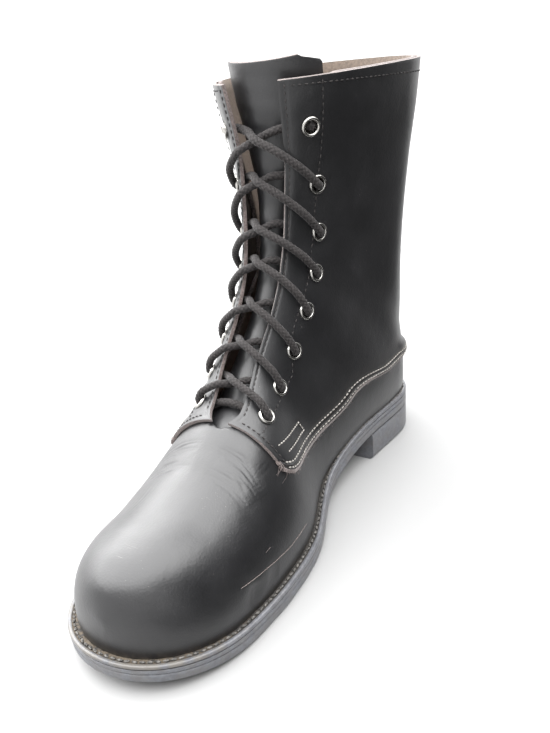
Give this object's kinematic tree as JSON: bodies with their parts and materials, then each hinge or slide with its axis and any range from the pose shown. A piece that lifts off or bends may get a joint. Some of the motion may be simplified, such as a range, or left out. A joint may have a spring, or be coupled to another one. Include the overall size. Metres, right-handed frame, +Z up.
{
  "type": "combat boot",
  "caption": "Plain-toe black leather lace-up boot, with a hollow ankle-high shaft, a welted rubber sole and a separate heel, laced through metal eyelets.",
  "frame": {"origin": "on the floor, under the middle of the heel", "axes": "+Z up, the toe points towards -Y, and the inner side of the foot is +X"},
  "size_m": [0.1088, 0.3072, 0.2366],
  "materials": {
    "leather": "worn semi-gloss",
    "tongue": "soft matte",
    "lining": "matte",
    "welt": "dusty matte",
    "rubber": "satin",
    "insole": "matte",
    "thread": "waxed",
    "lace": "braided",
    "nickel": "polished"
  },
  "bodies": {
    "root": {"outsole": "rubber", "heel": "rubber", "midsole": "rubber", "welt": "welt", "upper": "leather", "insole": "insole", "quarter_inner": "leather", "quarter_outer": "leather", "backstay": "leather", "tongue": "tongue", "eyelet_inner_1": "nickel", "eyelet_inner_2": "nickel", "eyelet_inner_3": "nickel", "eyelet_inner_4": "nickel", "eyelet_inner_5": "nickel", "eyelet_inner_6": "nickel", "eyelet_inner_7": "nickel", "eyelet_inner_8": "nickel", "eyelet_outer_1": "nickel", "eyelet_outer_2": "nickel", "eyelet_outer_3": "nickel", "eyelet_outer_4": "nickel", "eyelet_outer_5": "nickel", "eyelet_outer_6": "nickel", "eyelet_outer_7": "nickel", "eyelet_outer_8": "nickel", "lace_bar": "lace", "lace_cross_1": "lace", "lace_cross_2": "lace", "lace_cross_3": "lace", "lace_cross_4": "lace", "lace_cross_5": "lace", "lace_cross_6": "lace", "lace_cross_7": "lace"}
  },
  "joints": []
}
